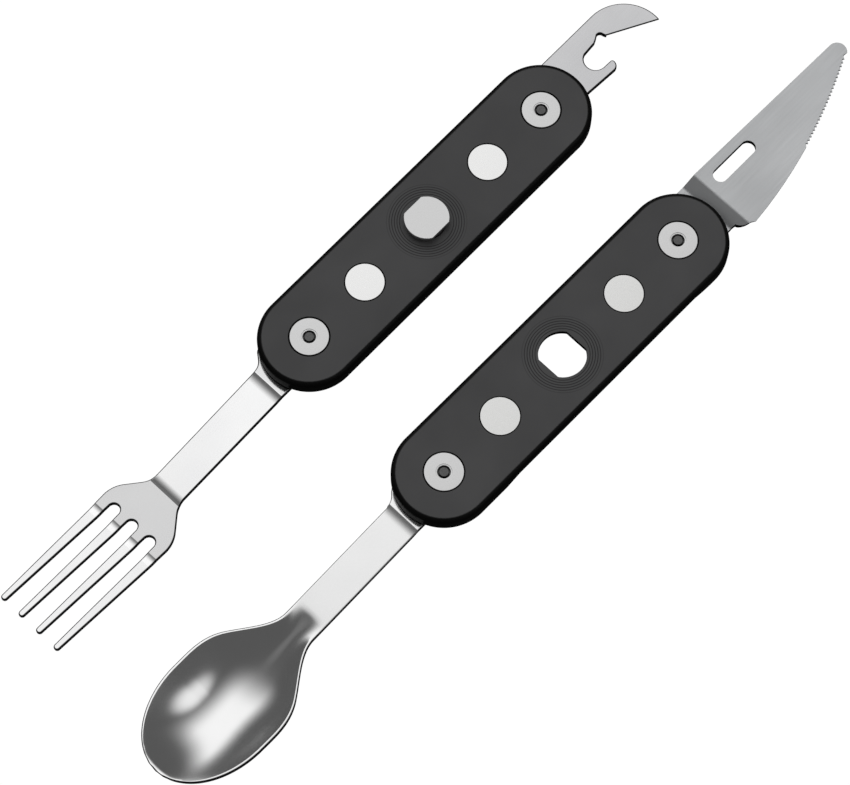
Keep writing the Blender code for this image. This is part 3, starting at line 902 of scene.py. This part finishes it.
def makeKnife():
    low = knife["bossY"]
    strokes = [(5.15, low), (13.0, low), (13.95, -6.3), ("arc", 17.35, -5.3, 62)]
    strokes += [(x, edgeY(x)) for x in (knife["heel"], 22, 26, 30, 34, 37.5)]
    pitch = (knife["toothTo"] - knife["toothFrom"]) / knife["teeth"]
    for i in range(knife["teeth"]):
        tip = knife["toothFrom"] + pitch * i
        valley = tip + knife["toothLean"] * pitch
        strokes += [(tip, edgeY(tip)), (valley, edgeY(valley) + knife["toothDepth"])]
    tipX, tipY = knife["tip"]
    radius, lean = knife["tipRadius"], math.radians(-knife["tipTurn"])
    strokes += [
        (tipX + radius * math.cos(lean), tipY + radius * math.sin(lean)),
        ("arc", tipX, tipY, 90 + knife["tipTurn"]),
    ]
    strokes += farRoot(knife["spine"], low)
    piece = tracePlate("knifeBlank", strokes, tangTop, steel)
    nearX, farX, slotY, slotRadius = knife["slot"]
    slot = tracePlate("slot", [
        (nearX, slotY - slotRadius), (farX, slotY - slotRadius), ("arc", farX, slotY, 180),
        (nearX, slotY + slotRadius), ("arc", nearX, slotY, 180),
    ], tangTop + 3 * mm, 8 * mm)
    cutting = [(14, edgeY(knife["heel"]))] + [(x, edgeY(x)) for x in range(22, 71, 4)]
    grind = grindCutter(cutting, (0, -1), knife["grind"], knife["edgeLeft"])
    combine(piece, [pinBore(), slot, grind], "DIFFERENCE")
    softenEdges(piece, knife["edge"] * mm, 3)
    shadeEdges(piece)
    bendPlate(piece, knife["slopes"], 1)
    piece.name = "knifeSteel"
    finish(piece, pivotPlace(spoonHalf, 1), metals["satinBlade"], "knife", "knife")


makeKnife()
print("fork, opener and knife ready")


spoon = {
    "length": 94.85,
    "widest": -74.5,
    "halfWidth": 14.25,
    "shoulder": (-48.0, -61.0, 11.7, 0.66),
    "deepest": -73.0,
    "depth": 6.0,
    "sinkRun": 29,
    "sinkPower": 1.5,
    "wallPower": 1.08,
    "lip": 0.62,
    "slopes": [(13.2, 0), (13.45, -0.31), (15.9, -0.11), (44.5, -0.11), (50.5, 0), (95, 0)],
    "wall": 1.9,
    "edge": 0.32,
    "rows": 28,
}


def eased(start, end, low, high, lowSlope, highSlope, x):
    run = abs(end - start)
    t = abs(x - start) / run
    rise = low * (2 * t ** 3 - 3 * t ** 2 + 1) + high * (3 * t ** 2 - 2 * t ** 3)
    return rise + run * (lowSlope * (t ** 3 - 2 * t ** 2 + t) + highSlope * (t ** 3 - t ** 2))


def spoonHalfWidth(x, left):
    boss = tang["boss"]
    if x > tang["stopStart"]:
        return math.sqrt(max(boss ** 2 - x * x, 0))
    if x > -tang["crease"] and left:
        if x > tang["stopEdge"]:
            return tang["stopY"]
        if x > tang["stopEnd"]:
            return tang["stopY"] - tang["stopSlope"] * (tang["stopEdge"] - x)
        return tang["flareY"] - math.sqrt(tang["flare"] ** 2 - (x + tang["crease"]) ** 2)
    widest, half = spoon["widest"], spoon["halfWidth"]
    start, middle, middleHalf, flare = spoon["shoulder"]
    if x < widest:
        share = 1 - ((x - widest) / (spoon["length"] + widest)) ** 2
        return half * math.sqrt(max(share, 0))
    if x < middle:
        return eased(middle, widest, middleHalf, half, flare, 0, x)
    if x < start:
        return eased(start, middle, tang["neck"], middleHalf, 0, flare, x)
    return tang["neck"]


def bowlSink(x):
    if x > spoon["deepest"]:
        share = max(1 - ((x - spoon["deepest"]) / spoon["sinkRun"]) ** 2, 0)
        return spoon["depth"] * share ** spoon["sinkPower"]
    ahead = spoon["length"] + spoon["deepest"] - spoon["lip"]
    return spoon["depth"] * max(1 - ((x - spoon["deepest"]) / ahead) ** 2, 0)


def spoonStations():
    # where rows of vertices cross the spoon: boss, stop, crease, neck, bowl, tip
    stations = [tang["boss"] * math.cos(math.radians(a)) for a in (0, *range(30, 144, 6))]
    stations += [-6.9 - 0.45 * i for i in range(14)]
    stations += [-13.2, -13.28, -13.36, -13.45] + [-13.7 - 0.3 * i for i in range(8)]
    stations += [-16.2 - 1.0 * i for i in range(29)]
    stations += [-45 - 0.75 * i for i in range(39)]
    ahead = spoon["length"] + spoon["widest"]
    stations += [spoon["widest"] - ahead * math.sin(math.radians(a)) for a in (*range(3, 73, 3), 80, 90)]
    return stations


def makeSpoon():
    stations = spoonStations()
    bm = bmesh.new()
    rows = spoon["rows"]
    bmesh.ops.create_grid(bm, x_segments=len(stations) - 1, y_segments=rows, size=1)
    for v in bm.verts:
        x = stations[round((1 - v.co.x) / 2 * (len(stations) - 1))]
        side = v.co.y
        half = spoonHalfWidth(x, side > 0)
        lip = spoon["lip"] / max(half, 1.5)
        inner = 0
        if abs(side) < 0.999:
            inner = side * rows / (rows - 2)
            side = inner * (1 - lip)
            inner = max(1 - inner * inner, 0)
        base = tangTop / mm
        if x < 0:
            base += riseAt(x * mm, spoon["slopes"]) / mm
        sink = bowlSink(x) * inner ** spoon["wallPower"]
        v.co = (x * mm, side * half * mm, (base - sink) * mm)
    bmesh.ops.remove_doubles(bm, verts=bm.verts, dist=0.01 * mm)
    bmesh.ops.recalc_face_normals(bm, faces=bm.faces)
    grown = bmesh.ops.extrude_face_region(bm, geom=bm.faces[:], use_keep_orig=True)
    for v in grown["geom"]:
        if isinstance(v, bmesh.types.BMVert):
            share = min(bowlSink(v.co.x / mm) / spoon["depth"], 1)
            v.co.z -= steel + (spoon["wall"] * mm - steel) * share
    piece = toObject("spoonSteel", bm)
    softenEdges(piece, spoon["edge"] * mm, 5, 50, clamp=False)
    combine(piece, [pinBore()], "DIFFERENCE")
    shadeEdges(piece, middle=(spoon["deepest"] * mm, 0, 0))
    finish(piece, pivotPlace(spoonHalf, -1), metals["bowlSteel"], "spoon", "spoon", 24)


makeSpoon()
print("spoon ready")


studio = {
    "keyX": (-0.33, 0.04, 0.48, 0.75),
    "keyY": (-0.50, 0.24, 0.72, 0.95),
    "keyZ": (0.18, 0.50),
    "keyLevel": 0.94,
    "sideTowards": (0.27, -0.58, 0.77),
    "sideEdge": 0.958,
    "sideCore": 0.9995,
    "sideLevel": 0.90,
    "rampTowards": (-0.57, 0.227, 0.79),
    "rampEdge": 0.950,
    "rampCore": 0.990,
    "rampLevel": 0.08,
    "surround": 0.10,
}


def makeStudioLight():
    # a large soft source overhead, two smaller ones at the sides, and a dim room
    world = bpy.data.worlds.new("studio")
    bpy.context.scene.world = world
    world.use_nodes = True
    tree = world.node_tree
    link = tree.links.new
    background = tree.nodes["Background"]
    background.inputs["Color"].default_value = (1, 1, 1, 1)
    towards = tree.nodes.new("ShaderNodeTexCoord").outputs["Generated"]
    split = tree.nodes.new("ShaderNodeSeparateXYZ")
    link(towards, split.inputs[0])

    def spot(name):
        dot = tree.nodes.new("ShaderNodeVectorMath")
        dot.operation = "DOT_PRODUCT"
        dot.inputs[1].default_value = Vector(studio[name + "Towards"]).normalized()
        link(towards, dot.inputs[0])
        edge, core, level = (studio[name + part] for part in ("Edge", "Core", "Level"))
        return rangeNode(tree, dot.outputs["Value"], edge, core, 0, level, True)

    total = rangeNode(tree, split.outputs["Z"], *studio["keyZ"], 0, studio["keyLevel"], True)
    for axis in "XY":
        upFrom, upTo, downFrom, downTo = studio["key" + axis]
        risen = rangeNode(tree, split.outputs[axis], upFrom, upTo, smooth=True)
        fallen = rangeNode(tree, split.outputs[axis], downTo, downFrom, smooth=True)
        total = mathNode(tree, "MULTIPLY", mathNode(tree, "MULTIPLY", total, risen), fallen)
    for name in ("side", "ramp"):
        total = mathNode(tree, "ADD", total, spot(name))
    link(mathNode(tree, "ADD", total, studio["surround"]), background.inputs["Strength"])


makeStudioLight()

sweep = {"reach": 3, "tone": (0.12, 0.12, 0.12), "roughness": 0.9, "glow": 1.02}


def makeFloor():
    # a plain white sweep; it doesn't shine back into the polished steel
    bm = bmesh.new()
    bmesh.ops.create_grid(bm, x_segments=1, y_segments=1, size=sweep["reach"])
    floor = toObject("floor", bm)
    material = bpy.data.materials.new("paleFloor")
    material.use_nodes = True
    tree = material.node_tree
    shader = tree.nodes["Principled BSDF"]
    shader.inputs["Base Color"].default_value = (*sweep["tone"], 1)
    shader.inputs["Roughness"].default_value = sweep["roughness"]
    glow = tree.nodes.new("ShaderNodeEmission")
    glow.inputs["Strength"].default_value = sweep["glow"]
    seen = tree.nodes.new("ShaderNodeLightPath")
    mix = tree.nodes.new("ShaderNodeMixShader")
    tree.links.new(seen.outputs["Is Camera Ray"], mix.inputs["Fac"])
    tree.links.new(shader.outputs["BSDF"], mix.inputs[1])
    tree.links.new(glow.outputs["Emission"], mix.inputs[2])
    tree.links.new(mix.outputs["Shader"], tree.nodes["Material Output"].inputs["Surface"])
    floor.data.materials.append(material)


makeFloor()
bpy.context.scene.view_settings.view_transform = "Standard"

view = {
    "lens": 132.88,
    "sensor": 36,
    "distance": 733.6,
    "tilt": 19.46,
    "azimuth": 222.92,
    "roll": 0.47,
    "aim": (-31.69, -29.38),
}


def makeCamera():
    data = bpy.data.cameras.new("camera")
    data.lens = view["lens"]
    data.sensor_width = view["sensor"]
    data.clip_start = 0.05
    camera = bpy.data.objects.new("camera", data)
    bpy.context.scene.collection.objects.link(camera)
    tilt, azimuth, roll = (math.radians(view[name]) for name in ("tilt", "azimuth", "roll"))
    across = math.sin(tilt)
    back = Vector((across * math.cos(azimuth), across * math.sin(azimuth), math.cos(tilt)))
    aim = forkHalf.to_translation() + Vector((view["aim"][0] * mm, view["aim"][1] * mm, 0))
    turn = back.to_track_quat("Z", "Y").to_matrix().to_4x4() @ Matrix.Rotation(roll, 4, "Z")
    camera.matrix_world = Matrix.Translation(aim + back * view["distance"] * mm) @ turn
    bpy.context.scene.camera = camera


makeCamera()
print("studio ready")
